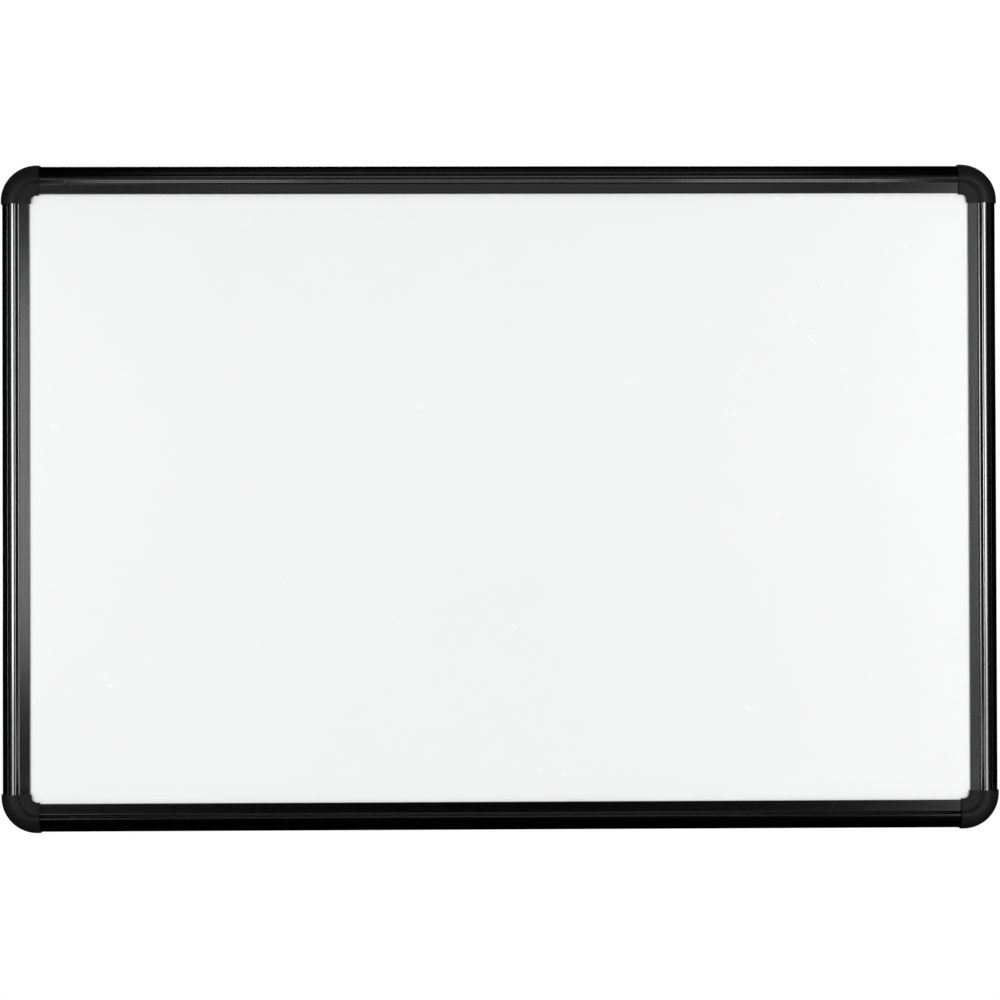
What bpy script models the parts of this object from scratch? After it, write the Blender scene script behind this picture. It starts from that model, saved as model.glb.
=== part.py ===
"""Framed wall whiteboard with black rails and rounded corner caps.

Frame of the model: +X to the right seen from the front, the writing surface faces -Y, +Z up.
The origin is the middle of the flat rear face of the top rail, in the plane of the wall (y = 0).

A rail's section is given by two distances. "across" runs from the board's outer edge towards its
middle, and "depth" runs from the wall to the front. The corner pieces are modelled round a local
corner: local +X and -Z run from the board's outer edges towards its middle, as at the top left.
"""

import math

import bmesh
import bpy
from mathutils import Matrix, Vector
from mathutils.geometry import interpolate_bezier

MM = 0.001

# --- driving dimensions, in millimetres ---------------------------------------------------------

BOARD_WIDTH = 914.0          # over the rails' outer faces
BOARD_HEIGHT = 610.0
RAIL_WIDTH = 26.0
WALL = 1.3                   # thickness of the extrusion's walls
GAP = 0.3                    # clearance left between neighbouring solids

# rail section
SIDE_HEIGHT = 10.5           # where the outer side turns into the bead's outer slope
CROWN_ACROSS = 12.2
CROWN_DEPTH = 19.0
BEAD_HANDLE = 0.36           # length of the curves' end tangents, as a part of their width or height
BEAD_END = 16.6              # where the bead meets the flat flange
FLANGE_DEPTH = 16.0
FLANGE_THICKNESS = 1.4
LIP_RADIUS = 0.8
EDGE_CHAMFER = 0.5
WEB_ACROSS = 17.0            # inner face of the web that closes the hollow bead
REAR_FLANGE_DEPTH = 3.2      # rear face of the flange behind the panel
REAR_FLANGE_THICKNESS = 1.2
REAR_FLANGE_END = 24.5
HOOK_THICKNESS = 1.2         # rear lip that the wall clips hook behind
HOOK_END = 21.5
SLOPE_STEPS = 8
SHOULDER_STEPS = 6
WALL_FACE_ACROSS = 8.5       # middle of the hollow bead's rear face

# panel, from the front
SURFACE_THICKNESS = 0.5
CORE_THICKNESS = 8.0
BACKING_THICKNESS = 0.5

# corner cap
CAP_PROUD = 1.2              # how far the cap stands out from the rails
CAP_LIP_PROUD = 1.2          # the same at the edge that faces the panel
CAP_REAR = 0.4               # depth at which the cap's side wall starts
CAP_RADIUS = 33.0            # outer corner radius
CAP_COLLAR = 2.8             # straight part that laps the rail's end
CAP_TURN_STEPS = 12
BOSS_RADIUS = 3.2

# corner key
KEY_OUTER = 1.6              # across, at the leg's outer face
KEY_REAR = 1.6
KEY_FRONT = 11.0
KEY_REACH = 36.0             # length of each leg inside its rail
KEY_TURN_STEPS = 10
SPOT_FACE_RADIUS = 3.9
SPOT_FACE_DEPTH = 2.8

# screws
SET_SCREW_RADIUS = 2.0
SET_SCREW_REAR = 3.2
SET_SCREW_FRONT = 15.0
SET_SCREW_ACROSS = 12.0
SET_SCREW_FROM_END = 31.0    # from the rail's end
SOCKET_RADIUS = 1.0
SOCKET_DEPTH = 2.0
ACCESS_RADIUS = 2.6
CAP_SCREW_RADIUS = 1.5
CAP_SCREW_TIP = 15.0
CAP_SCREW_HEAD_RADIUS = 2.8
CAP_SCREW_HEAD_HEIGHT = 1.7
ROUND_STEPS = 16

# wall clip
CLIP_THICKNESS = 1.4
CLIP_WIDTH = 32.0
CLIP_HOOK_START = 17.4
CLIP_BEND_START = 22.0
CLIP_BEND_RUN = 1.5
CLIP_END = 50.0
CLIP_CORNER = 3.0
CLIP_SLOT_WIDTH = 6.0
CLIP_SLOT_LENGTH = 11.0
CLIP_SLOT_ACROSS = 38.0
CLIP_PLACE = 305.0           # distance of each clip from the board's middle

# --- dimensions worked out from them --------------------------------------------------------------

TURN_CENTRE = CAP_RADIUS - CAP_PROUD       # across, where the caps' arcs have their centres
RAIL_END = TURN_CENTRE + 0.2               # a rail stops here, measured from the next outer face
FLANGE_BACK = FLANGE_DEPTH - FLANGE_THICKNESS
REAR_FLANGE_FRONT = REAR_FLANGE_DEPTH + REAR_FLANGE_THICKNESS
KEY_INNER = WEB_ACROSS - WALL - GAP
PANEL_EDGE = WEB_ACROSS + GAP
BOARD_MIDDLE = WALL_FACE_ACROSS - BOARD_HEIGHT / 2
SET_SCREW_PLACE = RAIL_END + SET_SCREW_FROM_END
KEY_OUTER_RADIUS = TURN_CENTRE - KEY_OUTER
KEY_INNER_DIAGONAL = (TURN_CENTRE - KEY_INNER) * math.sqrt(2)
CAP_SCREW_PLACE = TURN_CENTRE - (KEY_OUTER_RADIUS + KEY_INNER_DIAGONAL) / 2 / math.sqrt(2)

# name of each corner: where it is, and the quarter turns that take the top left corner to it
CORNERS = {
    "top_left": (-1, 1, 0),
    "top_right": (1, 1, 1),
    "bottom_right": (1, -1, 2),
    "bottom_left": (-1, -1, 3),
}


# --- scene, materials and small helpers -----------------------------------------------------------

def start_scene():
    """Clears the scene and returns the collections for the parts and for the cutters."""
    for old in list(bpy.data.objects):
        bpy.data.objects.remove(old, do_unlink=True)
    parts = bpy.data.collections.new("framed_whiteboard")
    cutters = bpy.data.collections.new("cutters")
    for collection in (parts, cutters):
        bpy.context.scene.collection.children.link(collection)
    return parts, cutters


def material(name, colour, roughness, metallic=0.0):
    """A plain Principled material."""
    made = bpy.data.materials.new(name)
    made.use_nodes = True
    shader = made.node_tree.nodes["Principled BSDF"]
    shader.inputs["Base Color"].default_value = (*colour, 1.0)
    shader.inputs["Roughness"].default_value = roughness
    shader.inputs["Metallic"].default_value = metallic
    return made


def make_materials():
    return {
        "enamel": material("white_enamel", (0.88, 0.88, 0.88), 0.25),
        "core": material("fibreboard", (0.42, 0.30, 0.19), 0.85),
        "backing": material("mill_aluminium", (0.72, 0.73, 0.74), 0.40, 1.0),
        "rail": material("black_anodised_aluminium", (0.03, 0.03, 0.03), 0.35, 0.6),
        "cap": material("black_textured_plastic", (0.012, 0.012, 0.012), 0.55),
        "key": material("die_cast_alloy", (0.50, 0.50, 0.49), 0.50, 1.0),
        "screw": material("zinc_plated_steel", (0.62, 0.62, 0.60), 0.32, 1.0),
        "clip": material("galvanised_steel", (0.58, 0.59, 0.60), 0.40, 1.0),
    }


def place(name, mesh, surface, collection, matrix):
    """Links an object that shows a mesh, which copies may share, at a place."""
    if not mesh.materials:
        mesh.materials.append(surface)
    placed = bpy.data.objects.new(name, mesh)
    placed.matrix_world = matrix
    collection.objects.link(placed)


def make_cutter(name, mesh, cutters):
    """Links a mesh as a hidden cutter."""
    cutter = bpy.data.objects.new(name, mesh)
    cutter.display_type = "WIRE"
    cutter.hide_render = True
    cutters.objects.link(cutter)
    return cutter


def cut(target, cutter, operation="DIFFERENCE"):
    """Adds an exact Boolean to an object."""
    boolean = target.modifiers.new(cutter.name, "BOOLEAN")
    boolean.operation = operation
    boolean.object = cutter
    boolean.solver = "EXACT"


def finished_mesh(name, source):
    """The mesh that an object shows with its modifiers on; the object itself is removed."""
    bpy.context.view_layer.update()
    evaluated = source.evaluated_get(bpy.context.evaluated_depsgraph_get())
    mesh = bpy.data.meshes.new_from_object(evaluated)
    mesh.name = name
    mesh.shade_smooth()
    mesh.set_sharp_from_angle(angle=math.radians(35))
    bpy.data.objects.remove(source, do_unlink=True)
    return mesh


def extruded(name, outlines, length, collection):
    """A closed mesh: flat closed outlines in millimetres, extruded evenly about local Z = 0."""
    curve = bpy.data.curves.new(name, "CURVE")
    curve.dimensions = "2D"
    curve.fill_mode = "BOTH"
    curve.extrude = length / 2 * MM
    for outline in outlines:
        spline = curve.splines.new("POLY")
        spline.points.add(len(outline) - 1)
        for point, (x, y) in zip(spline.points, outline):
            point.co = (x * MM, y * MM, 0.0, 1.0)
        spline.use_cyclic_u = True
    drawn = bpy.data.objects.new(name, curve)
    collection.objects.link(drawn)
    bpy.context.view_layer.update()
    evaluated = drawn.evaluated_get(bpy.context.evaluated_depsgraph_get())
    mesh = bpy.data.meshes.new_from_object(evaluated)
    bpy.data.objects.remove(drawn, do_unlink=True)
    welded = bmesh.new()
    welded.from_mesh(mesh)
    bmesh.ops.remove_doubles(welded, verts=welded.verts, dist=0.00001)
    bmesh.ops.recalc_face_normals(welded, faces=welded.faces)
    welded.to_mesh(mesh)
    welded.free()
    return mesh


def cylinder(name, radius, low, high, across_x, across_z):
    """A round bar along the depth, from low to high, at a place in a corner's local axes."""
    bar = bmesh.new()
    bmesh.ops.create_cone(
        bar, cap_ends=True, segments=ROUND_STEPS, radius1=radius * MM, radius2=radius * MM,
        depth=(high - low) * MM)
    bmesh.ops.rotate(bar, verts=bar.verts, matrix=Matrix.Rotation(math.pi / 2, 3, "X"))
    middle = Vector((across_x, -(low + high) / 2, -across_z)) * MM
    bmesh.ops.translate(bar, verts=bar.verts, vec=middle)
    mesh = bpy.data.meshes.new(name)
    bar.to_mesh(mesh)
    bar.free()
    return mesh


def turned(name, profile, cutters):
    """A turned piece. The profile runs down the outer side as (radius, height) in millimetres."""
    line = bmesh.new()
    points = [line.verts.new((radius * MM, 0.0, height * MM)) for radius, height in profile]
    for first, second in zip(points, points[1:]):
        line.edges.new((first, second))
    mesh = bpy.data.meshes.new(name)
    line.to_mesh(mesh)
    line.free()
    piece = bpy.data.objects.new(name, mesh)
    cutters.objects.link(piece)
    screw = piece.modifiers.new("turn", "SCREW")
    screw.axis = "Z"
    screw.steps = ROUND_STEPS
    screw.render_steps = ROUND_STEPS
    screw.use_merge_vertices = True
    screw.merge_threshold = 0.00001
    return finished_mesh(name, piece)


# --- places ---------------------------------------------------------------------------------------

def corner_matrix(corner):
    """Puts a piece that is modelled round the top left corner at any corner."""
    side, level, turns = CORNERS[corner]
    x = side * BOARD_WIDTH / 2
    z = BOARD_MIDDLE + level * BOARD_HEIGHT / 2
    return Matrix.Translation(Vector((x, 0.0, z)) * MM) @ Matrix.Rotation(turns * math.pi / 2, 4, "Y")


def edge_matrix(turns, along, outwards):
    """Puts a piece that is modelled under the middle of the top edge at any of the four edges."""
    turn = Matrix.Rotation(turns * math.pi / 2, 4, "Y")
    middle = Matrix.Translation(Vector((0.0, 0.0, BOARD_MIDDLE)) * MM)
    return middle @ turn @ Matrix.Translation(Vector((along, 0.0, outwards)) * MM)


def standing_section():
    """Stands a section up as the top rail's: across runs down, and depth runs to the front."""
    inwards = Vector((0.0, 0.0, -1.0))
    front = Vector((0.0, -1.0, 0.0))
    return Matrix((inwards, front, inwards.cross(front))).transposed().to_4x4()


# --- rail section ---------------------------------------------------------------------------------

def bead_slope(inset):
    """Smooth rise from the upright side wall over to the level crown."""
    foot = Vector((inset, SIDE_HEIGHT))
    crown = Vector((CROWN_ACROSS, CROWN_DEPTH - inset))
    up = Vector((0.0, BEAD_HANDLE * (crown.y - foot.y)))
    level = Vector((BEAD_HANDLE * (crown.x - foot.x), 0.0))
    points = interpolate_bezier(foot, foot + up, crown - level, crown, SLOPE_STEPS + 1)
    return [tuple(point) for point in points]


def bead_shoulder(inset, end, end_depth):
    """Smooth S-shaped fall from just past the crown to the flat flange."""
    crown = Vector((CROWN_ACROSS, CROWN_DEPTH - inset))
    foot = Vector((end, end_depth))
    level = Vector((BEAD_HANDLE * (end - CROWN_ACROSS), 0.0))
    points = interpolate_bezier(crown, crown + level, foot - level, foot, SHOULDER_STEPS + 1)
    return [tuple(point) for point in points[1:]]


def front_line():
    """The rail's visible outside, from the rear of its side wall to the lip over the panel."""
    lip = RAIL_WIDTH - LIP_RADIUS
    middle = LIP_RADIUS * math.sin(math.pi / 4)
    rounded_lip = [
        (lip, FLANGE_DEPTH),
        (lip + middle, FLANGE_DEPTH - LIP_RADIUS + middle),
        (RAIL_WIDTH, FLANGE_DEPTH - LIP_RADIUS),
    ]
    return bead_slope(0.0) + bead_shoulder(0.0, BEAD_END, FLANGE_DEPTH) + rounded_lip


def rail_outline():
    """Outside of the extrusion, with the panel's groove and the clips' groove."""
    rear = [
        (RAIL_WIDTH, FLANGE_BACK),
        (WEB_ACROSS, FLANGE_BACK),
        (WEB_ACROSS, REAR_FLANGE_FRONT),
        (REAR_FLANGE_END, REAR_FLANGE_FRONT),
        (REAR_FLANGE_END, REAR_FLANGE_DEPTH),
        (WEB_ACROSS, REAR_FLANGE_DEPTH),
        (WEB_ACROSS, HOOK_THICKNESS),
        (HOOK_END, HOOK_THICKNESS),
        (HOOK_END, 0.0),
        (EDGE_CHAMFER, 0.0),
        (0.0, EDGE_CHAMFER),
    ]
    return front_line() + rear


def rail_hollow():
    """The closed chamber under the bead."""
    web = WEB_ACROSS - WALL
    crown = bead_slope(WALL) + bead_shoulder(WALL, web, FLANGE_BACK + 0.1)
    return crown + [(web, WALL), (WALL, WALL)]


def rail_mesh(name, outer_length, cutters):
    """A rail with an access hole for the set screw near each end, modelled as the top rail."""
    length = outer_length - 2 * RAIL_END
    mesh = extruded(name, [rail_outline(), rail_hollow()], length, cutters)
    mesh.transform(standing_section())
    rail = bpy.data.objects.new(name, mesh)
    cutters.objects.link(rail)
    for side in (-1, 1):
        x = side * (outer_length / 2 - SET_SCREW_PLACE)
        hole = cylinder("access_hole", ACCESS_RADIUS, -WALL, 2 * WALL, x, SET_SCREW_ACROSS)
        cut(rail, make_cutter("access_hole", hole, cutters))
    return finished_mesh(name, rail)


def add_rails(parts, cutters, materials):
    long_rail = rail_mesh("long_rail", BOARD_WIDTH, cutters)
    short_rail = rail_mesh("short_rail", BOARD_HEIGHT, cutters)
    rails = (
        ("top_rail", long_rail, BOARD_HEIGHT / 2),
        ("right_rail", short_rail, BOARD_WIDTH / 2),
        ("bottom_rail", long_rail, BOARD_HEIGHT / 2),
        ("left_rail", short_rail, BOARD_WIDTH / 2),
    )
    for turns, (name, mesh, outwards) in enumerate(rails):
        place(name, mesh, materials["rail"], parts, edge_matrix(turns, 0.0, outwards))


# --- panel ----------------------------------------------------------------------------------------

def add_panel(parts, materials):
    """Three flat layers held in the rails' grooves."""
    layers = (
        ("writing_surface", SURFACE_THICKNESS, "enamel"),
        ("panel_core", CORE_THICKNESS, "core"),
        ("backing_sheet", BACKING_THICKNESS, "backing"),
    )
    width = BOARD_WIDTH - 2 * PANEL_EDGE
    height = BOARD_HEIGHT - 2 * PANEL_EDGE
    front = FLANGE_BACK - GAP
    for name, thickness, surface in layers:
        sheet = bmesh.new()
        bmesh.ops.create_cube(sheet, size=1.0)
        bmesh.ops.scale(sheet, verts=sheet.verts, vec=Vector((width, thickness, height)) * MM)
        mesh = bpy.data.meshes.new(name)
        sheet.to_mesh(mesh)
        sheet.free()
        middle = Vector((0.0, thickness / 2 - front, BOARD_MIDDLE)) * MM
        place(name, mesh, materials[surface], parts, Matrix.Translation(middle))
        front -= thickness + GAP


# --- corner cap -----------------------------------------------------------------------------------

def offset_line(line, distance):
    """Moves an open line sideways to its left by mitring each corner."""
    moved = []
    for index, point in enumerate(line):
        before = Vector(line[max(index - 1, 0)])
        after = Vector(line[min(index + 1, len(line) - 1)])
        here = Vector(point)
        sides = [(b - a).normalized() for a, b in ((before, here), (here, after)) if (b - a).length]
        normals = [Vector((-side.y, side.x)) for side in sides]
        mean = sum(normals, Vector((0.0, 0.0))).normalized()
        moved.append(here + mean * distance / mean.dot(normals[0]))
    return [(point.x, point.y) for point in moved]


def cap_line(distance, lip_distance):
    """The rail's outside moved out for the cap, from its rear edge to the foot of its lip."""
    line = offset_line(front_line(), distance)
    lip = RAIL_WIDTH + lip_distance
    kept = [point for point in line if point[0] < lip - LIP_RADIUS]
    front = FLANGE_DEPTH + distance
    rounded = [(lip - LIP_RADIUS / 3, front), (lip, front - LIP_RADIUS / 3)]
    return [(-distance, CAP_REAR)] + kept + rounded + [(lip, FLANGE_BACK)]


def swept_corner(name, outline):
    """A closed outline swept round the corner, with a straight collar at each end."""
    swept = bmesh.new()
    collar_start = TURN_CENTRE + CAP_COLLAR
    points = [swept.verts.new(Vector((x, -depth, -collar_start)) * MM) for x, depth in outline]
    face = swept.faces.new(points)
    ring = list(face.edges)
    first = bmesh.ops.extrude_edge_only(swept, edges=ring)
    edges = [e for e in first["geom"] if isinstance(e, bmesh.types.BMEdge)]
    verts = [v for v in first["geom"] if isinstance(v, bmesh.types.BMVert)]
    bmesh.ops.translate(swept, verts=verts, vec=Vector((0.0, 0.0, CAP_COLLAR)) * MM)
    centre = Vector((TURN_CENTRE, 0.0, -TURN_CENTRE)) * MM
    turn = bmesh.ops.spin(
        swept, geom=edges, cent=centre, axis=(0.0, 1.0, 0.0), angle=math.pi / 2,
        steps=CAP_TURN_STEPS)
    last = turn["geom_last"]
    edges = [e for e in last if isinstance(e, bmesh.types.BMEdge)]
    second = bmesh.ops.extrude_edge_only(swept, edges=edges)
    verts = [v for v in second["geom"] if isinstance(v, bmesh.types.BMVert)]
    edges = [e for e in second["geom"] if isinstance(e, bmesh.types.BMEdge)]
    bmesh.ops.translate(swept, verts=verts, vec=Vector((CAP_COLLAR, 0.0, 0.0)) * MM)
    bmesh.ops.edgenet_fill(swept, edges=edges)
    bmesh.ops.remove_doubles(swept, verts=swept.verts, dist=0.00001)
    bmesh.ops.recalc_face_normals(swept, faces=swept.faces)
    mesh = bpy.data.meshes.new(name)
    swept.to_mesh(mesh)
    swept.free()
    return mesh


def cap_mesh(cutters):
    """A moulded shell over the rails' ends, with a screw boss behind its bead."""
    outside = cap_line(CAP_PROUD, CAP_LIP_PROUD)
    inside = cap_line(GAP, GAP)
    cap = bpy.data.objects.new("cap", swept_corner("cap", outside + inside[::-1]))
    cutters.objects.link(cap)
    middle_of_skin = (GAP + CAP_PROUD) / 2
    filled = cap_line(middle_of_skin, middle_of_skin) + [(RAIL_WIDTH / 2, CAP_REAR)]
    envelope = make_cutter("cap_envelope", swept_corner("cap_envelope", filled), cutters)
    place_on_corner = (CAP_SCREW_PLACE, CAP_SCREW_PLACE)
    boss_mesh = cylinder("boss", BOSS_RADIUS, KEY_FRONT + GAP, CROWN_DEPTH + 5, *place_on_corner)
    boss = make_cutter("boss", boss_mesh, cutters)
    cut(boss, envelope, "INTERSECT")
    pilot_radius = CAP_SCREW_RADIUS + GAP
    pilot_mesh = cylinder("pilot", pilot_radius, KEY_FRONT, CAP_SCREW_TIP + GAP, *place_on_corner)
    pilot = make_cutter("pilot", pilot_mesh, cutters)
    cut(cap, boss, "UNION")
    cut(cap, pilot)
    return finished_mesh("cap", cap)


# --- corner key -----------------------------------------------------------------------------------

def key_outline():
    """L-shape whose outer corner follows the cap's arc."""
    end = RAIL_END + KEY_REACH
    arc = []
    for step in range(KEY_TURN_STEPS + 1):
        angle = math.pi / 2 * step / KEY_TURN_STEPS
        x = TURN_CENTRE - KEY_OUTER_RADIUS * math.cos(angle)
        z = TURN_CENTRE - KEY_OUTER_RADIUS * math.sin(angle)
        arc.append((x, -z))
    legs = [(end, -KEY_OUTER), (end, -KEY_INNER), (KEY_INNER, -KEY_INNER), (KEY_INNER, -end)]
    return arc + legs + [(KEY_OUTER, -end)]


def key_mesh(cutters):
    """A die-cast key with a tapped hole in each leg and a spot-faced screw hole in its elbow."""
    mesh = extruded("key", [key_outline()], KEY_FRONT - KEY_REAR, cutters)
    mesh.transform(Matrix.Rotation(math.pi / 2, 4, "X"))
    mesh.transform(Matrix.Translation(Vector((0.0, -(KEY_FRONT + KEY_REAR) / 2, 0.0)) * MM))
    key = bpy.data.objects.new("key", mesh)
    cutters.objects.link(key)
    beyond = 1.0
    elbow = (CAP_SCREW_PLACE, CAP_SCREW_PLACE)
    holes = (
        (SET_SCREW_RADIUS + GAP, KEY_FRONT + beyond, SET_SCREW_PLACE, SET_SCREW_ACROSS),
        (SET_SCREW_RADIUS + GAP, KEY_FRONT + beyond, SET_SCREW_ACROSS, SET_SCREW_PLACE),
        (SPOT_FACE_RADIUS, SPOT_FACE_DEPTH, *elbow),
        (CAP_SCREW_RADIUS + GAP, KEY_FRONT + beyond, *elbow),
    )
    for radius, high, x, z in holes:
        hole = cylinder("key_hole", radius, KEY_REAR - beyond, high, x, z)
        cut(key, make_cutter("key_hole", hole, cutters))
    return finished_mesh("key", key)


# --- screws ---------------------------------------------------------------------------------------

def set_screw_mesh(cutters):
    """Cup-point set screw with a socket in its rear end; height is the depth towards the front."""
    chamfer = 0.4
    point = 0.7
    profile = [
        (0.0, SET_SCREW_FRONT),
        (SET_SCREW_RADIUS - point, SET_SCREW_FRONT),
        (SET_SCREW_RADIUS, SET_SCREW_FRONT - point),
        (SET_SCREW_RADIUS, SET_SCREW_REAR + chamfer),
        (SET_SCREW_RADIUS - chamfer, SET_SCREW_REAR),
        (SOCKET_RADIUS, SET_SCREW_REAR),
        (SOCKET_RADIUS, SET_SCREW_REAR + SOCKET_DEPTH),
        (0.0, SET_SCREW_REAR + SOCKET_DEPTH),
    ]
    mesh = turned("set_screw", profile, cutters)
    mesh.transform(Matrix.Rotation(math.pi / 2, 4, "X"))
    return mesh


def cap_screw_mesh(cutters):
    """Pan-head screw whose head sits in the key's spot face."""
    head_front = SPOT_FACE_DEPTH - GAP
    head_rear = head_front - CAP_SCREW_HEAD_HEIGHT
    point = 0.8
    profile = [
        (0.0, CAP_SCREW_TIP),
        (CAP_SCREW_RADIUS - point, CAP_SCREW_TIP),
        (CAP_SCREW_RADIUS, CAP_SCREW_TIP - 2 * point),
        (CAP_SCREW_RADIUS, head_front),
        (CAP_SCREW_HEAD_RADIUS, head_front),
        (CAP_SCREW_HEAD_RADIUS, head_rear + point),
        (CAP_SCREW_HEAD_RADIUS - point, head_rear),
        (0.0, head_rear),
    ]
    mesh = turned("cap_screw", profile, cutters)
    mesh.transform(Matrix.Rotation(math.pi / 2, 4, "X"))
    return mesh


# --- corner pieces in place -----------------------------------------------------------------------

def add_corners(parts, cutters, materials):
    cap = cap_mesh(cutters)
    key = key_mesh(cutters)
    set_screw = set_screw_mesh(cutters)
    cap_screw = cap_screw_mesh(cutters)
    legs = {
        "a": (SET_SCREW_PLACE, SET_SCREW_ACROSS),
        "b": (SET_SCREW_ACROSS, SET_SCREW_PLACE),
    }
    for corner in CORNERS:
        at = corner_matrix(corner)
        place(corner + "_cap", cap, materials["cap"], parts, at)
        place(corner + "_key", key, materials["key"], parts, at)
        elbow = Matrix.Translation(Vector((CAP_SCREW_PLACE, 0.0, -CAP_SCREW_PLACE)) * MM)
        place(corner + "_cap_screw", cap_screw, materials["screw"], parts, at @ elbow)
        for leg, (x, z) in legs.items():
            tapped = Matrix.Translation(Vector((x, 0.0, -z)) * MM)
            name = corner + "_set_screw_" + leg
            place(name, set_screw, materials["screw"], parts, at @ tapped)


# --- wall clips -----------------------------------------------------------------------------------

def clip_outline():
    """Z-shaped strip: a hook behind the rail's lip, a joggle, and a plate flat on the wall."""
    hook_rear = (HOOK_THICKNESS + REAR_FLANGE_DEPTH - CLIP_THICKNESS) / 2
    hook_front = hook_rear + CLIP_THICKNESS
    bend_end = CLIP_BEND_START + CLIP_BEND_RUN
    shift = CLIP_THICKNESS * math.tan(math.atan2(hook_rear, CLIP_BEND_RUN) / 2)
    return [
        (CLIP_HOOK_START, hook_rear),
        (CLIP_HOOK_START, hook_front),
        (CLIP_BEND_START + shift, hook_front),
        (bend_end + shift, CLIP_THICKNESS),
        (CLIP_END, CLIP_THICKNESS),
        (CLIP_END, 0.0),
        (bend_end, 0.0),
        (CLIP_BEND_START, hook_rear),
    ]


def round_free_corners(mesh):
    """Rounds the two corners of a clip's plate that lie farthest from its rail."""
    plate = bmesh.new()
    plate.from_mesh(mesh)
    free_end = (-CLIP_END + CLIP_CORNER / 2) * MM
    corners = []
    for edge in plate.edges:
        start, end = (vert.co for vert in edge.verts)
        if max(start.z, end.z) < free_end and abs(start.x - end.x) < GAP * MM:
            corners.append(edge)
    bmesh.ops.bevel(
        plate, geom=corners, offset=CLIP_CORNER * MM, segments=4, profile=0.5, affect="EDGES",
        material=-1)
    plate.to_mesh(mesh)
    plate.free()


def slot_outline():
    """Round-ended slot, long way across the rail."""
    radius = CLIP_SLOT_WIDTH / 2
    reach = (CLIP_SLOT_LENGTH - CLIP_SLOT_WIDTH) / 2
    half_turn = [math.pi * step / 8 for step in range(9)]
    top = [(radius * math.cos(a), reach + radius * math.sin(a)) for a in half_turn]
    bottom = [(-x, -z) for x, z in top]
    return top + bottom


def clip_mesh(cutters):
    """A clip modelled at the middle of the top rail, its wall face in the plane of the wall."""
    mesh = extruded("clip", [clip_outline()], CLIP_WIDTH, cutters)
    mesh.transform(standing_section())
    round_free_corners(mesh)
    clip = bpy.data.objects.new("clip", mesh)
    cutters.objects.link(clip)
    slot = extruded("clip_slot", [slot_outline()], 6 * CLIP_THICKNESS, cutters)
    slot.transform(Matrix.Rotation(math.pi / 2, 4, "X"))
    slot.transform(Matrix.Translation(Vector((0.0, 0.0, -CLIP_SLOT_ACROSS)) * MM))
    cut(clip, make_cutter("clip_slot", slot, cutters))
    return finished_mesh("clip", clip)


def add_clips(parts, cutters, materials):
    clip = clip_mesh(cutters)
    places = {
        "top_left_clip": (0, -CLIP_PLACE),
        "top_right_clip": (0, CLIP_PLACE),
        "bottom_left_clip": (2, CLIP_PLACE),
        "bottom_right_clip": (2, -CLIP_PLACE),
    }
    for name, (turns, along) in places.items():
        at = edge_matrix(turns, along, BOARD_HEIGHT / 2)
        place(name, clip, materials["clip"], parts, at)


def main():
    parts, cutters = start_scene()
    materials = make_materials()
    add_panel(parts, materials)
    add_rails(parts, cutters, materials)
    add_corners(parts, cutters, materials)
    add_clips(parts, cutters, materials)


main()
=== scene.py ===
import math

import bmesh
import bpy
from bpy.props import FloatProperty, FloatVectorProperty, IntProperty, PointerProperty
from mathutils import Matrix, Vector
from mathutils.geometry import interpolate_bezier


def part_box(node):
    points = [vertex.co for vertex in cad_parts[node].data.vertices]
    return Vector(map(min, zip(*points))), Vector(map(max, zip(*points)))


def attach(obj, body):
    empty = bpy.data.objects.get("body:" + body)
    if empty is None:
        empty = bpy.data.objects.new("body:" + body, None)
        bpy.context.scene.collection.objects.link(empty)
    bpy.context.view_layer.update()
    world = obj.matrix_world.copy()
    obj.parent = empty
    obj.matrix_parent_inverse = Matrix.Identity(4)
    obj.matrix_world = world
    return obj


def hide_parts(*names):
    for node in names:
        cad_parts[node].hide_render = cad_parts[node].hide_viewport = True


# The board hangs in the X-Z plane, its writing surface faces -Y and its rear lies in y = 0.
# "Across" runs from an outer edge of the board towards its middle, and "depth" from the wall to
# the front. Edge pieces are modelled under the middle of the top edge, and corner pieces round the
# top left corner; quarter turns about Y then take them to the other edges and corners.

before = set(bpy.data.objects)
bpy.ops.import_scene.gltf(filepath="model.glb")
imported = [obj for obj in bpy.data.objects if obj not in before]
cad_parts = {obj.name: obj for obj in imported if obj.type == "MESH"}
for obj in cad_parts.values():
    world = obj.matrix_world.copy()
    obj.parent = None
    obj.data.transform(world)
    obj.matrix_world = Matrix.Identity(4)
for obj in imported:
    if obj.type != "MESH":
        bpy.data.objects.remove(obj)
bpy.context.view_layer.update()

bl_info = {
    "name": "Framed Whiteboard",
    "version": (1, 0, 0),
    "blender": (4, 5, 0),
    "location": "View3D > Sidebar > Whiteboard",
    "description": "Dry-erase board in a black aluminium frame with rounded corner caps",
    "category": "Add Mesh",
}

QUARTER = math.pi / 2
ALONG_DEPTH = Matrix.Rotation(QUARTER, 4, "X")     # takes local Z to the front
# takes (across, depth, along) to a place under the middle of the top edge
UNDER_TOP_EDGE = Matrix(((0, 0, -1, 0), (0, -1, 0, 0), (-1, 0, 0, 0), (0, 0, 0, 1)))

CORNER_TURNS = {"top_left": 0, "top_right": 1, "bottom_right": 2, "bottom_left": 3}

SMOOTH_ANGLE = 35          # degrees, over which an edge is shaded sharp
SOFTEN_ANGLE = 60          # degrees, over which an edge is rounded
WELD = 1e-6                # distance within which vertices are merged
DENT_REACH = 2.0           # how far a dent's slopes reach, in its radii
CAMERA_TURNS = {"Z": -0.913, "X": 0.533, "Y": 0.181}      # degrees away from square on


# --- sizes and colours ----------------------------------------------------------------------------

def length(name, default, description):
    return FloatProperty(
        name=name, default=default, description=description, unit="LENGTH", min=0.0, precision=5)


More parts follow.
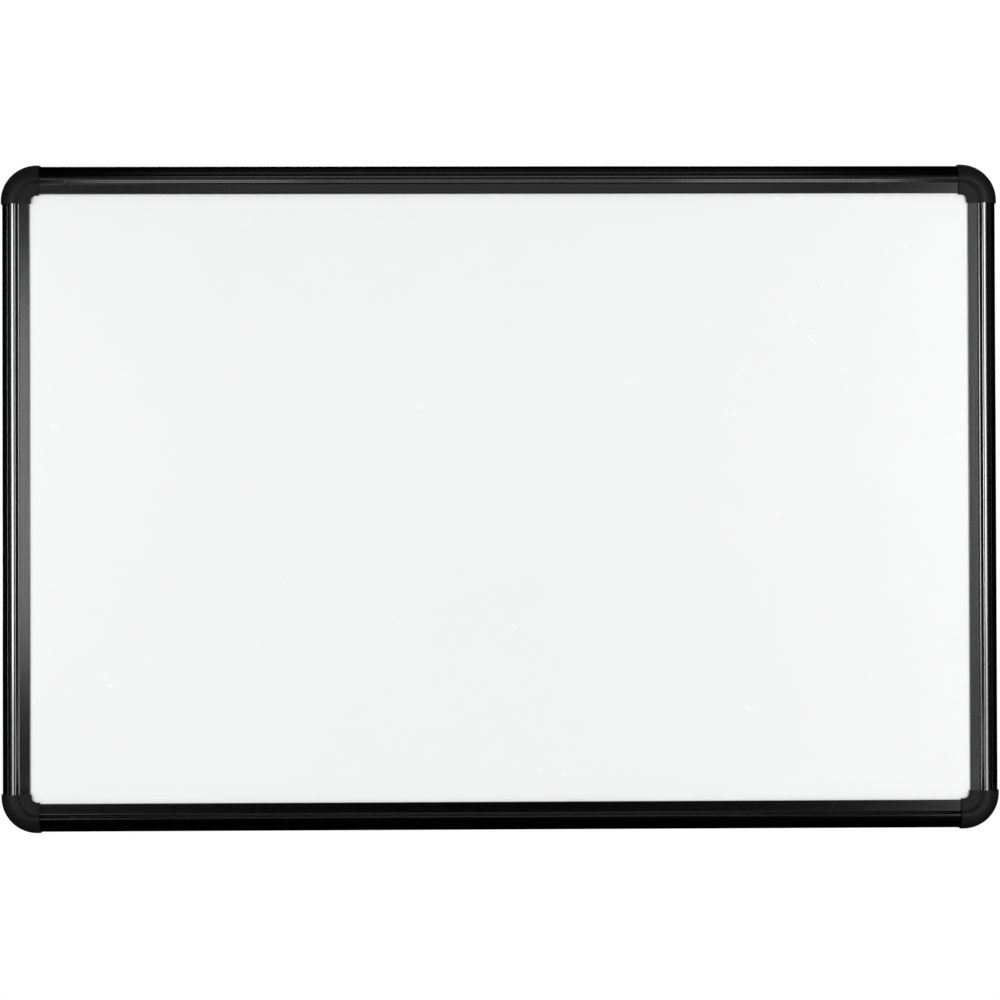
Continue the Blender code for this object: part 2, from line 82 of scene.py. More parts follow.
def colour(name, default, description):
    return FloatVectorProperty(
        name=name, default=default, description=description, subtype="COLOR", size=3, min=0.0,
        max=1.0)


class RailSizes(bpy.types.PropertyGroup):
    side_height: length("Side height", 0.0105, "Depth at which the side turns into the bead")
    crown_across: length("Crown", 0.0122, "Distance of the bead's crown from the outer edge")
    bead_handle: FloatProperty(
        name="Bead handle", default=0.36, min=0.1, max=0.9,
        description="Length of the curves' end tangents, as a part of their width or height")
    bead_end: length("Bead end", 0.0166, "Where the bead meets the flat flange")
    flange_depth: length("Flange depth", 0.0160, "Depth of the flange's front face")
    flange_thickness: length("Flange thickness", 0.0014, "Thickness of the flange over the panel")
    lip_radius: length("Lip radius", 0.0008, "Rounding of the flange's edge over the panel")
    wall: length("Wall", 0.0013, "Thickness of the extrusion's walls")
    web_across: length("Web", 0.0170, "Inner face of the web that closes the hollow bead")
    rear_flange_depth: length("Rear flange depth", 0.0032, "Rear face of the flange behind the panel")
    rear_flange_thickness: length("Rear flange", 0.0012, "Thickness of the flange behind the panel")
    rear_flange_end: length("Rear flange end", 0.0245, "Edge of the flange behind the panel")
    hook_thickness: length("Hook", 0.0012, "Thickness of the lip that the wall clips hook behind")
    hook_end: length("Hook end", 0.0215, "Edge of the lip that the wall clips hook behind")
    edge_radius: length("Edge radius", 0.0003, "Rounding of the extrusion's plain edges")
    rib_first: length("First rib", 0.0031, "Distance of the outer rib from the outer edge")
    rib_pitch: length("Rib pitch", 0.0021, "Distance between the two ribs")
    rib_half_width: length("Rib half width", 0.0007, "Half the width of a rib")
    rib_height: length("Rib height", 0.00015, "Height of a rib over the bead's outer slope")
    access_radius: length("Access hole", 0.0026, "Radius of the hole over each set screw")
    dent_depth: length("Dent depth", 0.00008, "Depth of the dent that a clamped key leaves")
    dent_across: length("Dent place", 0.0153, "Distance of the dents from the outer edge")
    dent_radius: length("Dent radius", 0.0030, "Radius of a dent")


class CornerSizes(bpy.types.PropertyGroup):
    gap: length("Gap", 0.0003, "Clearance between a cap and a rail")
    proud: length("Proud", 0.0012, "How far a cap stands out from the rails")
    lip_proud: length("Lip proud", 0.0012, "How far a cap stands out over the panel")
    rear: length("Rear", 0.0004, "Depth at which a cap's side starts")
    radius: length("Radius", 0.0330, "Outer radius of a corner cap")
    collar: length("Collar", 0.0028, "Straight part of a cap that laps a rail")
    rim_radius: length("Rim radius", 0.00025, "Rounding of a cap's rims")
    boss_radius: length("Boss radius", 0.0032, "Radius of the screw boss in a cap")
    turn_steps: IntProperty(
        name="Turn steps", default=40, min=8, description="Steps round a cap's quarter turn")
    key_outer: length("Key outside", 0.0016, "Distance of a key's leg from the outer edge")
    key_rear: length("Key rear", 0.0016, "Depth of a key's rear face")
    key_front: length("Key front", 0.0110, "Depth of a key's front face")
    key_reach: length("Key reach", 0.0360, "Length of a key's leg inside its rail")
    key_edge: length("Key edge", 0.0004, "Rounding of a key's edges")
    spot_radius: length("Spot face", 0.0039, "Radius of the recess round a cap screw's head")
    spot_depth: length("Spot depth", 0.0028, "Depth of the recess's floor")


class ScrewSizes(bpy.types.PropertyGroup):
    set_radius: length("Set screw", 0.0020, "Outer radius of a set screw's thread")
    set_rear: length("Set screw rear", 0.0032, "Depth of a set screw's rear end")
    set_front: length("Set screw point", 0.0150, "Depth of a set screw's point")
    set_across: length("Set screw place", 0.0120, "Distance of a set screw from the outer edge")
    set_from_end: length("Set screw reach", 0.0310, "Distance of a set screw from its rail's end")
    socket_radius: length("Socket", 0.00115, "Radius over the corners of a hexagon socket")
    socket_depth: length("Socket depth", 0.0020, "Depth of a hexagon socket")
    cap_radius: length("Cap screw", 0.0015, "Outer radius of a cap screw's thread")
    cap_tip: length("Cap screw tip", 0.0150, "Depth of a cap screw's tip")
    head_radius: length("Head radius", 0.0028, "Radius of a cap screw's pan head")
    head_height: length("Head height", 0.0017, "Height of a cap screw's pan head")
    thread_pitch: length("Thread pitch", 0.0007, "Distance between thread crests")
    thread_depth: length("Thread depth", 0.0003, "Depth of the thread")


class ClipSizes(bpy.types.PropertyGroup):
    thickness: length("Thickness", 0.0014, "Thickness of a wall clip's strip")
    hook_start: length("Hook start", 0.0174, "Edge of the hook inside the rail's groove")
    bend_start: length("Bend start", 0.0220, "Where the strip bends towards the wall")
    bend_run: length("Bend run", 0.0015, "Length of the sloping part")
    bend_radius: length("Bend radius", 0.0006, "Inside radius of a bend")
    corner: length("Corner", 0.0030, "Rounding of the plate's free corners")
    slot_width: length("Slot width", 0.0060, "Width of the screw slot")
    slot_length: length("Slot length", 0.0110, "Length of the screw slot")
    slot_across: length("Slot place", 0.0380, "Distance of the slot's middle from the outer edge")
    edge: length("Edge", 0.00018, "Rounding of the strip's sheared edges")


class BoardColours(bpy.types.PropertyGroup):
    enamel: colour("Enamel", (0.82, 0.822, 0.824), "White of the writing surface")
    rail: colour("Anodising", (0.18, 0.18, 0.181), "Black of the anodised rails")
    cap: colour("Plastic", (0.005, 0.005, 0.0052), "Black of the corner caps")
    core: colour("Fibreboard", (0.30, 0.19, 0.105), "Brown of the panel's core")
    backing: colour("Backing", (0.60, 0.61, 0.62), "Grey of the rear sheet")
    key: colour("Die-cast alloy", (0.42, 0.42, 0.41), "Grey of the corner keys")
    zinc: colour("Zinc plating", (0.66, 0.67, 0.66), "Colour of the plated screws")
    galvanised: colour("Galvanising", (0.55, 0.565, 0.58), "Colour of the wall clips")
    floor: colour("Floor", (0.80, 0.80, 0.80), "Pale studio floor")


class StageSizes(bpy.types.PropertyGroup):
    camera_distance: length("Camera distance", 2.5, "Distance of the camera from the wall")
    camera_left: length("Camera left", 0.0403, "How far the camera is left of the board's middle")
    camera_below: length("Camera below", 0.0254, "How far the camera is below the board's middle")
    focal: FloatProperty(
        name="Focal length", default=97.46, min=1.0, description="Focal length in millimetres")
    floor_drop: length("Floor drop", 0.85, "Distance of the floor below the board")
    light_distance: length("Light distance", 1.9, "Distance of the softboxes from the board")
    overhead_height: length("Overhead height", 2.4, "Height of the overhead light over the board")
    overhead_power: FloatProperty(
        name="Overhead power", default=50.0, min=0.0, description="Overhead light's power in watts")


PROPERTY_GROUPS = {
    "whiteboard_rail": RailSizes,
    "whiteboard_corner": CornerSizes,
    "whiteboard_screw": ScrewSizes,
    "whiteboard_clip": ClipSizes,
    "whiteboard_colours": BoardColours,
    "whiteboard_stage": StageSizes,
}


# --- places taken from the frame ------------------------------------------------------------------

def board():
    """Middle, width and height over the rails' outer faces."""
    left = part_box("left_rail")[0].x
    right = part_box("right_rail")[1].x
    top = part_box("top_rail")[1].z
    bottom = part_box("bottom_rail")[0].z
    middle = Vector(((left + right) / 2, 0.0, (top + bottom) / 2))
    return middle, right - left, top - bottom


def rail_width():
    low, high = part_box("top_rail")
    return high.z - low.z


def crown_depth():
    return -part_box("top_rail")[0].y


def rail_end():
    """Distance of a rail's end from the outer face of the rail that it meets."""
    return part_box("top_rail")[0].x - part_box("left_rail")[0].x


def turn_centre():
    """Distance of the centre of a cap's quarter turn from both rails' outer faces."""
    corner = bpy.context.scene.whiteboard_corner
    return corner.radius - corner.proud


def edge_matrix(turns, along=0.0):
    """Takes a piece from under the middle of the top edge to an edge, at a place along it."""
    middle, width, height = board()
    outwards = (width if turns % 2 else height) / 2
    turn = Matrix.Rotation(turns * QUARTER, 4, "Y")
    return Matrix.Translation(middle) @ turn @ Matrix.Translation((along, 0.0, outwards))


def corner_matrix(corner):
    """Takes a piece from the local corner, across in +X and -Z, to a corner of the board."""
    middle, width, height = board()
    side = -1 if corner.endswith("left") else 1
    level = 1 if corner.startswith("top") else -1
    place = middle + Vector((side * width / 2, 0.0, level * height / 2))
    return Matrix.Translation(place) @ Matrix.Rotation(CORNER_TURNS[corner] * QUARTER, 4, "Y")


def key_inner():
    """Distance of a key's inner faces from the outer edges."""
    rail = bpy.context.scene.whiteboard_rail
    return rail.web_across - rail.wall - bpy.context.scene.whiteboard_corner.gap


def cap_screw_place():
    """Distance of a cap screw from both outer edges: the middle of the key's elbow."""
    inner_reach = (turn_centre() - key_inner()) * math.sqrt(2)
    outer_reach = turn_centre() - bpy.context.scene.whiteboard_corner.key_outer
    return turn_centre() - (inner_reach + outer_reach) / 2 / math.sqrt(2)


def set_screw_place():
    """Distance of a set screw from the outer edge of the other rail."""
    return rail_end() + bpy.context.scene.whiteboard_screw.set_from_end


# --- outlines, as lists of (across, depth) --------------------------------------------------------

def steps(count):
    return [step / count for step in range(count + 1)]


def rounded(line, radius, count=4, closed=False):
    """Replaces the inner corners of a line, or every corner of a closed one, by arcs."""
    points = [Vector(point) for point in line]
    last = len(points) - 1
    made = []
    for index, corner in enumerate(points):
        if not closed and index in (0, last):
            made.append(tuple(corner))
            continue
        before = points[index - 1] - corner
        after = points[(index + 1) % len(points)] - corner
        half = before.angle(after) / 2
        reach = min(radius / math.tan(half), before.length * 0.49, after.length * 0.49)
        start = corner + before.normalized() * reach
        end = corner + after.normalized() * reach
        for part in steps(count):
            bend = (1 - part) ** 2 * start + 2 * part * (1 - part) * corner + part ** 2 * end
            made.append(tuple(bend))
    return made


def offset_line(line, distance):
    """Moves an open line to its left by mitring each corner."""
    points = [Vector(point) for point in line]
    moved = []
    for index, here in enumerate(points):
        sides = []
        if index > 0:
            sides.append((here - points[index - 1]).normalized())
        if index < len(points) - 1:
            sides.append((points[index + 1] - here).normalized())
        normals = [Vector((-side.y, side.x)) for side in sides]
        mean = sum(normals, Vector((0.0, 0.0))).normalized()
        moved.append(tuple(here + mean * distance / mean.dot(normals[0])))
    return moved


def rib(rail, across):
    """Height of the ribs over the bead's outer slope."""
    height = 0.0
    for number in range(2):
        middle = rail.rib_first + number * rail.rib_pitch
        reach = (across - middle) / rail.rib_half_width
        height += rail.rib_height * max(0.0, 1.0 - reach ** 2)
    return height


def bead_slope(inset, count, ribbed=False):
    """Smooth rise from the side wall over to the crown, with or without the ribs."""
    rail = bpy.context.scene.whiteboard_rail
    foot = Vector((inset, rail.side_height))
    crown = Vector((rail.crown_across, crown_depth() - inset))
    up = Vector((0.0, rail.bead_handle * (crown.y - foot.y)))
    level = Vector((rail.bead_handle * (crown.x - foot.x), 0.0))
    line = interpolate_bezier(foot, foot + up, crown - level, crown, count + 1)
    if not ribbed:
        return [tuple(point) for point in line]
    raised = [tuple(foot)]
    for before, here, after in zip(line, line[1:], line[2:]):
        along = (after - before).normalized()
        raised.append(tuple(here + Vector((-along.y, along.x)) * rib(rail, here.x)))
    return raised + [tuple(crown)]


def bead_shoulder(inset, end, end_depth, count):
    """Smooth S-shaped fall from just past the crown to the flat flange."""
    rail = bpy.context.scene.whiteboard_rail
    crown = Vector((rail.crown_across, crown_depth() - inset))
    foot = Vector((end, end_depth))
    level = Vector((rail.bead_handle * (end - rail.crown_across), 0.0))
    line = interpolate_bezier(crown, crown + level, foot - level, foot, count + 1)
    return [tuple(point) for point in line[1:]]


def front_line(slope_count, shoulder_count, ribbed=False):
    """A rail's visible outside, from its side wall to the lip over the panel."""
    rail = bpy.context.scene.whiteboard_rail
    width = rail_width()
    radius = rail.lip_radius
    lip = []
    for part in steps(6):
        across = width - radius + radius * math.sin(QUARTER * part)
        depth = rail.flange_depth - radius + radius * math.cos(QUARTER * part)
        lip.append((across, depth))
    shoulder = bead_shoulder(0.0, rail.bead_end, rail.flange_depth, shoulder_count)
    dented = rail.dent_across + DENT_REACH * rail.dent_radius
    flange = [
        (rail.bead_end + part * (dented - rail.bead_end), rail.flange_depth) for part in steps(4)]
    # a point just before the lip keeps the flange's shading flat
    before_lip = (lip[0][0] - 0.2 * radius, rail.flange_depth)
    return bead_slope(0.0, slope_count, ribbed) + shoulder + flange[1:] + [before_lip] + lip


def rail_outline():
    """Outside of the extrusion, with the panel's groove and the clips' groove."""
    rail = bpy.context.scene.whiteboard_rail
    width = rail_width()
    flange_back = rail.flange_depth - rail.flange_thickness
    rear_front = rail.rear_flange_depth + rail.rear_flange_thickness
    front = front_line(110, 30, ribbed=True)
    rear = [
        front[-1],
        (width, flange_back),
        (rail.web_across, flange_back),
        (rail.web_across, rear_front),
        (rail.rear_flange_end, rear_front),
        (rail.rear_flange_end, rail.rear_flange_depth),
        (rail.web_across, rail.rear_flange_depth),
        (rail.web_across, rail.hook_thickness),
        (rail.hook_end, rail.hook_thickness),
        (rail.hook_end, 0.0),
        (0.0, 0.0),
        front[0],
    ]
    return front + rounded(rear, rail.edge_radius)[1:-1]


def rail_hollow():
    """The closed chamber under the bead."""
    rail = bpy.context.scene.whiteboard_rail
    web = rail.web_across - rail.wall
    corner_step = 0.0001
    foot = rail.flange_depth - rail.flange_thickness + corner_step
    crown = bead_slope(rail.wall, 24) + bead_shoulder(rail.wall, web, foot, 12)
    corners = [crown[-1], (web, rail.wall), (rail.wall, rail.wall), crown[0]]
    return crown + rounded(corners, rail.edge_radius)[1:-1]


def cap_line(distance, lip_distance):
    """The rail's plain outside moved out for a cap, from the cap's rear to the foot of its lip."""
    corner = bpy.context.scene.whiteboard_corner
    rail = bpy.context.scene.whiteboard_rail
    lip = rail_width() + lip_distance
    front = rail.flange_depth + distance
    moved = offset_line(front_line(26, 14), distance)
    kept = [point for point in moved if point[0] < lip - rail.lip_radius]
    flange_back = rail.flange_depth - rail.flange_thickness
    edge = rounded([kept[-1], (lip, front), (lip, flange_back)], rail.lip_radius, 5)
    return [(-distance, corner.rear)] + kept + edge[1:]


# --- meshes ---------------------------------------------------------------------------------------

def loop_of_edges(shape, outline, height=0.0):
    """Draws a closed outline in a bmesh at a height along local Z, and returns its edges."""
    verts = [shape.verts.new((x, y, height)) for x, y in outline]
    pairs = zip(verts, verts[1:] + verts[:1])
    return [shape.edges.new(pair) for pair in pairs]


def extrude_edges(shape, edges, move):
    """Extrudes edges by a vector and returns the new edges."""
    result = bmesh.ops.extrude_edge_only(shape, edges=edges)["geom"]
    verts = [item for item in result if isinstance(item, bmesh.types.BMVert)]
    bmesh.ops.translate(shape, verts=verts, vec=move)
    return [item for item in result if isinstance(item, bmesh.types.BMEdge)]


def prism(outlines, heights):
    """A bar of a constant section, whose later outlines are hollows, with a loop at each height."""
    shape = bmesh.new()
    edges = []
    for outline in outlines:
        edges += loop_of_edges(shape, outline, heights[0])
    bmesh.ops.triangle_fill(shape, use_beauty=True, edges=edges)
    for low, high in zip(heights, heights[1:]):
        edges = extrude_edges(shape, edges, Vector((0.0, 0.0, high - low)))
    bmesh.ops.triangle_fill(shape, use_beauty=True, edges=edges)
    bmesh.ops.recalc_face_normals(shape, faces=shape.faces)
    return shape


def swept_corner(outline):
    """A closed outline swept round the local corner, with a straight collar at each end."""
    corner = bpy.context.scene.whiteboard_corner
    centre = turn_centre()
    shape = bmesh.new()
    edges = loop_of_edges(shape, outline)
    bmesh.ops.triangle_fill(shape, use_beauty=True, edges=edges)
    stand = Matrix.Translation((0.0, 0.0, -centre - corner.collar)) @ ALONG_DEPTH
    flat = Matrix(((1, 0, 0, 0), (0, 0, 1, 0), (0, -1, 0, 0), (0, 0, 0, 1)))
    bmesh.ops.transform(shape, verts=shape.verts, matrix=stand @ flat)
    bmesh.ops.transform(shape, verts=shape.verts, matrix=Matrix.Scale(-1, 4, (0, 1, 0)))
    edges = extrude_edges(shape, edges, Vector((0.0, 0.0, corner.collar)))
    turned = bmesh.ops.spin(
        shape, geom=edges, cent=(centre, 0.0, -centre), axis=(0.0, 1.0, 0.0), angle=QUARTER,
        steps=corner.turn_steps)["geom_last"]
    edges = [item for item in turned if isinstance(item, bmesh.types.BMEdge)]
    edges = extrude_edges(shape, edges, Vector((corner.collar, 0.0, 0.0)))
    bmesh.ops.triangle_fill(shape, use_beauty=True, edges=edges)
    bmesh.ops.remove_doubles(shape, verts=shape.verts, dist=WELD)
    bmesh.ops.recalc_face_normals(shape, faces=shape.faces)
    return shape


def turned_piece(profile, segments):
    """A piece turned about local Z from a profile of (radius, height) that starts and ends on it."""
    shape = bmesh.new()
    verts = [shape.verts.new((radius, 0.0, height)) for radius, height in profile]
    edges = [shape.edges.new(pair) for pair in zip(verts, verts[1:])]
    bmesh.ops.spin(
        shape, geom=verts + edges, cent=(0, 0, 0), axis=(0, 0, 1), angle=2 * math.pi,
        steps=segments, use_merge=True)
    bmesh.ops.remove_doubles(shape, verts=shape.verts, dist=WELD)
    bmesh.ops.recalc_face_normals(shape, faces=shape.faces)
    return shape


def bar(radius, low, high, across_x, across_z, segments=32):
    """A round bar along the depth, from low to high, at a place in the local corner's axes."""
    shape = bmesh.new()
    bmesh.ops.create_cone(
        shape, cap_ends=True, segments=segments, radius1=radius, radius2=radius, depth=high - low)
    move = Matrix.Translation((across_x, -(low + high) / 2, -across_z)) @ ALONG_DEPTH
    bmesh.ops.transform(shape, verts=shape.verts, matrix=move)
    return shape


def soften(shape, edges, radius, segments=2):
    """Rounds chosen edges."""
    bmesh.ops.bevel(
        shape, geom=edges, offset=radius, segments=segments, profile=0.5, affect="EDGES",
        material=-1, clamp_overlap=True)


def sharp_edges(shape):
    limit = math.radians(SOFTEN_ANGLE)
    return [edge for edge in shape.edges if edge.calc_face_angle(0.0) > limit]


def smooth(mesh, sharp):
    """Shades a mesh smooth, apart from its edges over an angle in degrees."""
    mesh.shade_smooth()
    mesh.set_sharp_from_angle(angle=math.radians(sharp))
    return mesh


def to_mesh(shape, name, sharp=SMOOTH_ANGLE):
    """Turns a bmesh into a smooth-shaded mesh and frees it."""
    mesh = bpy.data.meshes.new(name)
    shape.to_mesh(mesh)
    shape.free()
    return smooth(mesh, sharp)


def combine(mesh, tools, operation="DIFFERENCE"):
    """The exact Boolean of a mesh with tool meshes, one after another."""
    scene = bpy.context.scene
    target = bpy.data.objects.new(mesh.name, mesh)
    scene.collection.objects.link(target)
    helpers = [target]
    for tool in tools:
        helper = bpy.data.objects.new(tool.name, tool)
        scene.collection.objects.link(helper)
        helpers.append(helper)
        modifier = target.modifiers.new(tool.name, "BOOLEAN")
        modifier.operation = operation
        modifier.solver = "EXACT"
        modifier.object = helper
    bpy.context.view_layer.update()
    evaluated = target.evaluated_get(bpy.context.evaluated_depsgraph_get())
    result = bpy.data.meshes.new_from_object(evaluated)
    for helper in helpers:
        bpy.data.objects.remove(helper, do_unlink=True)
    return smooth(result, SMOOTH_ANGLE)


def add_piece(name, mesh, matrix, material, body, nodes):
    """Adds a finished piece whose place is in its mesh, and ties it to the frame."""
    placed = mesh.copy()
    placed.name = name
    placed.transform(matrix)
    placed.materials.clear()
    placed.materials.append(material)
    piece = bpy.data.objects.new(name, placed)
    bpy.context.scene.collection.objects.link(piece)
    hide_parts(*nodes)
    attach(piece, body)
    return piece


def add_at_corners(kind, detail, mesh, material):
    """Adds a piece of one kind, such as a cap or a key, at every corner of the board."""
    for corner in CORNER_TURNS:
        node = corner + "_" + kind
        name = node + "_" + detail
        add_piece(name, mesh, corner_matrix(corner), material, "board", [node])


def refinish(node, material):
    """Gives a CAD node whose shape is right its finished material."""
    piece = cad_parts[node]
    piece.data.materials.clear()
    piece.data.materials.append(material)


# --- materials ------------------------------------------------------------------------------------

class Finish:
    """A Principled material on Object coordinates, built up from small steps."""

    def __init__(self, name, colour, roughness, metallic=0.0, specular=0.5):
        self.material = bpy.data.materials.new(name)
        self.material.use_nodes = True
        self.nodes = self.material.node_tree.nodes
        self.links = self.material.node_tree.links
        self.shader = self.nodes["Principled BSDF"]
        self.colour = (*colour, 1.0)
        self.shader.inputs["Base Color"].default_value = self.colour
        self.shader.inputs["Roughness"].default_value = roughness
        self.shader.inputs["Metallic"].default_value = metallic
        self.shader.inputs["Specular IOR Level"].default_value = specular
        self.place = self.nodes.new("ShaderNodeTexCoord").outputs["Object"]

    def stretched(self, scale):
        """Object coordinates scaled differently along each axis."""
        mapping = self.nodes.new("ShaderNodeMapping")
        mapping.inputs["Scale"].default_value = scale
        self.links.new(self.place, mapping.inputs["Vector"])
        return mapping.outputs["Vector"]

    def noise(self, scale, detail=3.0, roughness=0.5, place=None):
        texture = self.nodes.new("ShaderNodeTexNoise")
        texture.inputs["Scale"].default_value = scale
        texture.inputs["Detail"].default_value = detail
        texture.inputs["Roughness"].default_value = roughness
        self.links.new(place or self.place, texture.inputs["Vector"])
        return texture.outputs["Fac"]

    def cells(self, scale, feature="F1", output="Distance"):
        texture = self.nodes.new("ShaderNodeTexVoronoi")
        texture.feature = feature
        texture.inputs["Scale"].default_value = scale
        self.links.new(self.place, texture.inputs["Vector"])
        return texture.outputs[output]

    def spread(self, factor, low, high):
        """Maps the middle of a factor to a range of values."""
        ranged = self.nodes.new("ShaderNodeMapRange")
        ranged.inputs["From Min"].default_value = 0.25
        ranged.inputs["From Max"].default_value = 0.75
        ranged.inputs["To Min"].default_value = low
        ranged.inputs["To Max"].default_value = high
        self.links.new(factor, ranged.inputs["Value"])
        return ranged.outputs["Result"]

    def shade(self, factor, low, high):
        """Varies the base colour by a factor between a darker and a lighter multiple."""
        ramp = self.nodes.new("ShaderNodeValToRGB")
        ends = ramp.color_ramp.elements
        ends[0].position = 0.3
        ends[1].position = 0.7
        ends[0].color = (*(channel * low for channel in self.colour[:3]), 1.0)
        ends[1].color = (*(min(1.0, channel * high) for channel in self.colour[:3]), 1.0)
        self.links.new(factor, ramp.inputs["Fac"])
        self.links.new(ramp.outputs["Color"], self.shader.inputs["Base Color"])

    def gloss(self, factor, low, high):
        """Varies the roughness by a factor."""
        self.links.new(self.spread(factor, low, high), self.shader.inputs["Roughness"])

    def relief(self, factor, distance, strength=1.0, under=None):
        """Raises the surface by a factor, over another relief where one is given."""
        bump = self.nodes.new("ShaderNodeBump")
        bump.inputs["Distance"].default_value = distance
        bump.inputs["Strength"].default_value = strength
        self.links.new(factor, bump.inputs["Height"])
        if under is not None:
            self.links.new(under, bump.inputs["Normal"])
        self.links.new(bump.outputs["Normal"], self.shader.inputs["Normal"])
        return bump.outputs["Normal"]


def white_enamel():
    finish = Finish("white_enamel", bpy.context.scene.whiteboard_colours.enamel, 0.24)
    finish.shade(finish.noise(3.0, 2.0), 0.992, 1.004)
    finish.gloss(finish.noise(38.0, 4.0, 0.6), 0.20, 0.28)
    waves = finish.relief(finish.noise(55.0, 2.0), 0.00008, 0.5)
    finish.relief(finish.noise(420.0, 2.0), 0.00001, 0.5, under=waves)
    return finish.material


def black_anodising(name, stretch):
    """Satin anodised aluminium with fine drawing lines along the rail."""
    finish = Finish(name, bpy.context.scene.whiteboard_colours.rail, 0.18, 1.0)
    drawn = finish.stretched(stretch)
    finish.shade(finish.noise(1.0, 4.0, 0.6, drawn), 0.85, 1.15)
    finish.gloss(finish.noise(0.8, 3.0, 0.6, drawn), 0.17, 0.19)
    lines = finish.relief(finish.noise(1.6, 3.0, 0.7, drawn), 0.00001, 0.05)
    finish.relief(finish.noise(5200.0, 2.0), 0.000004, 0.15, under=lines)
    return finish.material


def black_plastic():
    """Moulded plastic with a fine spark-eroded grain."""
    plastic = bpy.context.scene.whiteboard_colours.cap
    finish = Finish("black_textured_plastic", plastic, 0.5, specular=0.24)
    finish.shade(finish.noise(900.0, 3.0), 0.8, 1.25)
    finish.gloss(finish.noise(1400.0, 3.0), 0.44, 0.58)
    grain = finish.relief(finish.cells(2100.0, "SMOOTH_F1"), 0.00006, 0.55)
    finish.relief(finish.noise(4200.0, 3.0, 0.6), 0.00004, 0.5, under=grain)
    return finish.material


def fibreboard():
    finish = Finish("fibreboard", bpy.context.scene.whiteboard_colours.core, 0.9)
    fibres = finish.stretched((260.0, 2600.0, 260.0))
    finish.shade(finish.noise(1.0, 6.0, 0.7, fibres), 0.6, 1.35)
    finish.gloss(finish.noise(300.0, 3.0), 0.82, 0.96)
    finish.relief(finish.noise(1.3, 5.0, 0.7, fibres), 0.0002, 0.6)
    return finish.material


def rolled_aluminium():
    """Mill-finished sheet with long rolling streaks."""
    finish = Finish("mill_aluminium", bpy.context.scene.whiteboard_colours.backing, 0.5, 0.55)
    streaks = finish.stretched((1.6, 400.0, 420.0))
    finish.shade(finish.noise(1.0, 5.0, 0.65, streaks), 0.95, 1.04)
    finish.gloss(finish.noise(0.7, 4.0, 0.6, streaks), 0.46, 0.56)
    lines = finish.relief(finish.noise(1.0, 4.0, 0.7, streaks), 0.00002, 0.25)
    finish.relief(finish.noise(14.0, 2.0), 0.0002, 0.15, under=lines)
    return finish.material


def die_cast_alloy():
    finish = Finish("die_cast_alloy", bpy.context.scene.whiteboard_colours.key, 0.5, 1.0)
    finish.shade(finish.noise(160.0, 5.0, 0.65), 0.75, 1.15)
    finish.gloss(finish.noise(420.0, 3.0), 0.42, 0.62)
    finish.relief(finish.noise(900.0, 4.0, 0.6), 0.00008, 0.6)
    return finish.material


def zinc_plating():
    finish = Finish("zinc_plating", bpy.context.scene.whiteboard_colours.zinc, 0.3, 1.0)
    finish.shade(finish.noise(700.0, 3.0), 0.86, 1.06)
    finish.gloss(finish.noise(1500.0, 3.0), 0.24, 0.38)
    finish.relief(finish.noise(2600.0, 3.0), 0.00001, 0.5)
    return finish.material


def galvanising():
    """Hot-dip galvanised steel with small crystal spangles."""
    finish = Finish("galvanised_steel", bpy.context.scene.whiteboard_colours.galvanised, 0.4, 1.0)
    finish.shade(finish.cells(420.0, output="Color"), 0.86, 1.1)
    finish.gloss(finish.noise(520.0, 4.0, 0.6), 0.32, 0.50)
    spangle = finish.relief(finish.cells(420.0), 0.00006, 0.35)
    finish.relief(finish.noise(1800.0, 3.0), 0.00002, 0.5, under=spangle)
    return finish.material


def studio_floor():
    finish = Finish("studio_floor", bpy.context.scene.whiteboard_colours.floor, 0.7)
    finish.shade(finish.noise(0.9, 3.0), 0.985, 1.01)
    finish.gloss(finish.noise(6.0, 3.0), 0.64, 0.76)
    return finish.material


# --- operators ------------------------------------------------------------------------------------

class WHITEBOARD_OT_panel(bpy.types.Operator):
    """Finish the writing surface, the core and the backing sheet"""

    bl_idname = "whiteboard.panel"
    bl_label = "Panel"

    def execute(self, context):
        refinish("writing_surface", white_enamel())
        refinish("panel_core", fibreboard())
        refinish("backing_sheet", rolled_aluminium())
        return {"FINISHED"}


